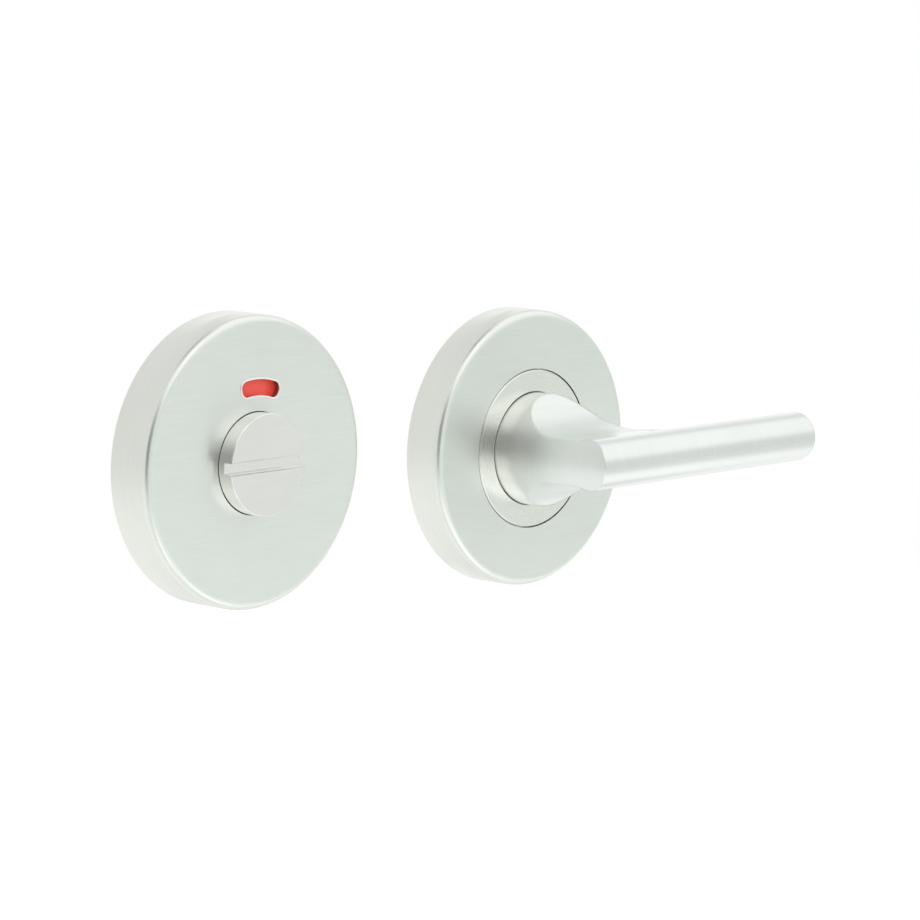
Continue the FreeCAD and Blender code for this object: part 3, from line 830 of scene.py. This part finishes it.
class StageSetup(bpy.types.Operator):
    """Add the floor, the light and the camera."""

    bl_idname = "turnset.stage_setup"
    bl_label = "Set up stage"

    def execute(self, context):
        stage = context.scene.turnset_stage
        camera_back = add_camera(context.scene, stage)
        add_floor(stage)
        add_light(context.scene, stage, camera_back)
        return {"FINISHED"}


# Stage

SENSOR_WIDTH = 36
NEAR_CLIP = 0.01

# Floor: radii between which it fades into the room, and the tones of its paper
FLOOR_RADIUS = 0.9
FLOOR_SEGMENTS = 96
FLOOR_FADE = (0.4, 0.85)
FLOOR_GLOW = 0.4
FIBRE_SCALE = 500.0
PAPER_DARK = (0.84, 0.84, 0.84, 1)
PAPER_PALE = (0.87, 0.87, 0.87, 1)
PAPER_ROUGHNESS = 0.9

# Patches of the floor that glow for reflections alone: the lines between which each begins or ends
# along X, along Y or away from the middle of the set, and its strength
FRONT_BACK_EDGE = (-0.08, -0.02)
FRONT_LEFT_EDGE = (0.05, 0.11)
FRONT_REACH = (0.25, 0.42)
FRONT_STRENGTH = 0.26
BEHIND_RIGHT_EDGE = (0.0, 0.15)
BEHIND_FRONT_EDGE = (-0.06, 0.02)
BEHIND_STRENGTH = 0.13
GRIP_LEFT_EDGE = (0.12, 0.2)
GRIP_BACK_EDGE = (0.12, 0.3)
GRIP_STRENGTH = 0.2

# Place and radii of the plain patch that the lower hollow reflects
HOLLOW_PATCH_X = 0.21
HOLLOW_PATCH_EDGE = (0.025, 0.075)

# Round bright cards on the floor: X, Y and strength of each, and the radii between which they end
CARDS = ((0.06, -0.15, 0.5), (-0.06, -0.16, 0.45))
CARD_EDGE = (0.03, 0.085)

# Room as metal reflects it: its level, and the axis, the edge and the strength of each bright or dark part
ROOM_LEVEL = 0.77
ROOM_PARTS = (
    ((0.6, -0.5, 1.0), (0.85, 1.12), 0.28),
    ((0.0, 0.0, -1.0), (0.45, 0.7), 0.28),
    ((0.0, 0.0, 1.0), (0.92, 0.99), -0.4),
    ((-0.3, -0.67, 0.68), (0.84, 0.98), 0.27),
)
BEHIND_AXIS = (0.7, 0.7, 0.0)
BEHIND_EDGE = (0.7, 1.0)
HORIZON = (-0.13, -0.02)
BEHIND_LOW = 0.12
BEHIND_HIGH = 0.27
SPOT_EDGE = (0.86, 0.965)
SPOT_LOSS = 0.68

LAMP_SIZE = 1.3
LAMP_DISTANCE = 1.3
LAMP_DIRECTION = (-0.45, -0.6, 0.66)


def add_camera(scene, stage):
    """Places the camera and returns the direction from the set to it."""
    level = math.cos(stage.elevation)
    back = Vector((math.sin(stage.azimuth) * level, -math.cos(stage.azimuth) * level,
                   math.sin(stage.elevation)))
    right = Vector((0, 0, 1)).cross(back).normalized()
    right.rotate(Matrix.Rotation(stage.roll, 3, back))
    up = back.cross(right)
    data = bpy.data.cameras.new("camera")
    data.lens = stage.lens
    data.sensor_width = SENSOR_WIDTH
    data.clip_start = NEAR_CLIP
    camera = bpy.data.objects.new("camera", data)
    position = (Vector((PAIR_MIDDLE, 0, 0)) + back * stage.distance + right * stage.shift_right
                + up * stage.shift_up)
    axes = Matrix((right, up, back)).transposed().to_4x4()
    camera.matrix_world = Matrix.Translation(position) @ axes
    scene.collection.objects.link(camera)
    scene.camera = camera
    return back


def floor_reflections(tree, x, y, reach):
    """Glow of the floor that only reflections show, for a place and its distance from the middle."""
    in_front = (tree.fall(y, *FRONT_BACK_EDGE) * tree.step(x, *FRONT_LEFT_EDGE)
                * tree.fall(reach, *FRONT_REACH))
    left_behind = tree.fall(x - PAIR_MIDDLE, *BEHIND_RIGHT_EDGE) * tree.step(y, *BEHIND_FRONT_EDGE)
    under_grip = (tree.step(x, *GRIP_LEFT_EDGE) * tree.step(y, *FRONT_BACK_EDGE)
                  * tree.fall(y, *GRIP_BACK_EDGE))
    from_hollow = tree.length(x - HOLLOW_PATCH_X, y)
    under_grip = under_grip * tree.step(from_hollow, *HOLLOW_PATCH_EDGE)
    glow = in_front * FRONT_STRENGTH + left_behind * BEHIND_STRENGTH + under_grip * GRIP_STRENGTH
    for card_x, card_y, strength in CARDS:
        glow = glow + tree.fall(tree.length(x - card_x, y - card_y), *CARD_EDGE) * strength
    return glow


def floor_paper():
    """Pale paper that fades away from the set."""
    material, tree = new_material("floor_paper")
    place = tree.place()
    x, y, _ = tree.split(place)
    reach = tree.length(x - PAIR_MIDDLE, y)
    seen = tree.node("ShaderNodeLightPath")
    reflections = seen.other("Is Glossy Ray") * floor_reflections(tree, x, y, reach)
    fibres = tree.noise(place, FIBRE_SCALE, CLOUD_DETAIL)
    paper = tree.node("ShaderNodeBsdfPrincipled", inputs={
        "Base Color": tree.colour_between(fibres, PAPER_DARK, PAPER_PALE),
        "Roughness": PAPER_ROUGHNESS,
        "Emission Color": seen * FLOOR_GLOW + reflections,
        "Emission Strength": 1.0,
    })
    clear = tree.node("ShaderNodeBsdfTransparent")
    fade = tree.step(reach, *FLOOR_FADE)
    surface = tree.node("ShaderNodeMixShader", inputs={0: fade, 1: paper, 2: clear})
    tree.node("ShaderNodeOutputMaterial", inputs={0: surface})
    return material


def add_floor(stage):
    """Pale round floor that fades into the white room."""
    height = LOWEST_POINT - stage.floor_gap
    mesh = bmesh.new()
    bmesh.ops.create_circle(mesh, cap_ends=True, segments=FLOOR_SEGMENTS, radius=FLOOR_RADIUS,
                            matrix=Matrix.Translation((PAIR_MIDDLE, 0, height)))
    data = bpy.data.meshes.new("floor")
    mesh.to_mesh(data)
    mesh.free()
    data.materials.append(floor_paper())
    floor = bpy.data.objects.new("floor", data)
    bpy.context.scene.collection.objects.link(floor)


def white_room(stage, camera_back):
    """World that is white where it is seen, and a room with a dark spot behind the camera where
    metal reflects it."""
    world = bpy.data.worlds.new("room")
    tree = ShaderTree(world)
    direction = tree.node("ShaderNodeTexCoord", output="Generated")
    above_horizon = tree.step(tree.split(direction)[2], *HORIZON)
    behind = tree.step(tree.along(direction, BEHIND_AXIS), *BEHIND_EDGE)
    room = ROOM_LEVEL + behind * tree.between(above_horizon, BEHIND_LOW, BEHIND_HIGH)
    for axis, edge, strength in ROOM_PARTS:
        room = room + tree.step(tree.along(direction, axis), *edge) * strength
    spot = tree.step(tree.along(direction, camera_back), *SPOT_EDGE)
    room = room * (1.0 - spot * SPOT_LOSS)
    seen = tree.node("ShaderNodeLightPath")
    level = tree.between(seen.other("Is Glossy Ray"), stage.ambient, room)
    bright = tree.step(seen + seen.other("Is Transmission Ray"), 0.0, 1.0)
    sky = tree.node("ShaderNodeBackground", inputs={
        "Color": WHITE,
        "Strength": tree.between(bright, level, 1.0),
    })
    tree.node("ShaderNodeOutputWorld", inputs={0: sky})
    return world


def add_light(scene, stage, camera_back):
    """White room and one large soft lamp."""
    scene.world = white_room(stage, camera_back)
    lamp = bpy.data.lights.new("soft_lamp", "AREA")
    lamp.shape = "SQUARE"
    lamp.size = LAMP_SIZE
    lamp.energy = stage.key_power
    key = bpy.data.objects.new("soft_lamp", lamp)
    towards = Vector(LAMP_DIRECTION).normalized()
    place = Vector((PAIR_MIDDLE, 0, 0)) + towards * LAMP_DISTANCE
    key.matrix_world = Matrix.Translation(place) @ towards.to_track_quat("Z", "Y").to_matrix().to_4x4()
    key.visible_glossy = False
    scene.collection.objects.link(key)
    scene.view_settings.view_transform = "Standard"


class TurnSetPanel(bpy.types.Panel):
    """Settings and steps of the turn and release set."""

    bl_idname = "VIEW3D_PT_turnset"
    bl_label = "Turn set"
    bl_space_type = "VIEW_3D"
    bl_region_type = "UI"
    bl_category = "Turn set"

    def draw(self, context):
        layout = self.layout
        for group in SETTINGS:
            settings = getattr(context.scene, group)
            box = layout.box()
            for name in settings.bl_rna.properties.keys():
                if name not in ("rna_type", "name"):
                    box.prop(settings, name)
        for operator in OPERATORS:
            layout.operator(operator.bl_idname)


SETTINGS = {
    "turnset_steel": SteelSettings,
    "turnset_colours": ColourSettings,
    "turnset_lip": LipSettings,
    "turnset_slot": SlotSettings,
    "turnset_stage": StageSettings,
}
OPERATORS = (StageSetup, CoverFinish, WindowLip, ReleaseFinish, TurnFinish, WorksFinish)


def register():
    """Registers the classes and puts the settings on the scene."""
    for group in SETTINGS.values():
        bpy.utils.register_class(group)
    for operator in OPERATORS:
        bpy.utils.register_class(operator)
    bpy.utils.register_class(TurnSetPanel)
    for name, group in SETTINGS.items():
        setattr(bpy.types.Scene, name, bpy.props.PointerProperty(type=group))


def unregister():
    """Takes the settings and the classes away again."""
    for name in SETTINGS:
        delattr(bpy.types.Scene, name)
    bpy.utils.unregister_class(TurnSetPanel)
    for operator in reversed(OPERATORS):
        bpy.utils.unregister_class(operator)
    for group in reversed(SETTINGS.values()):
        bpy.utils.unregister_class(group)


def main():
    """Runs every step in order."""
    register()
    bpy.ops.turnset.stage_setup()
    bpy.ops.turnset.cover_finish()
    bpy.ops.turnset.window_lip()
    bpy.ops.turnset.release_finish()
    bpy.ops.turnset.turn_finish()
    bpy.ops.turnset.works_finish()


if __name__ == "__main__":
    main()
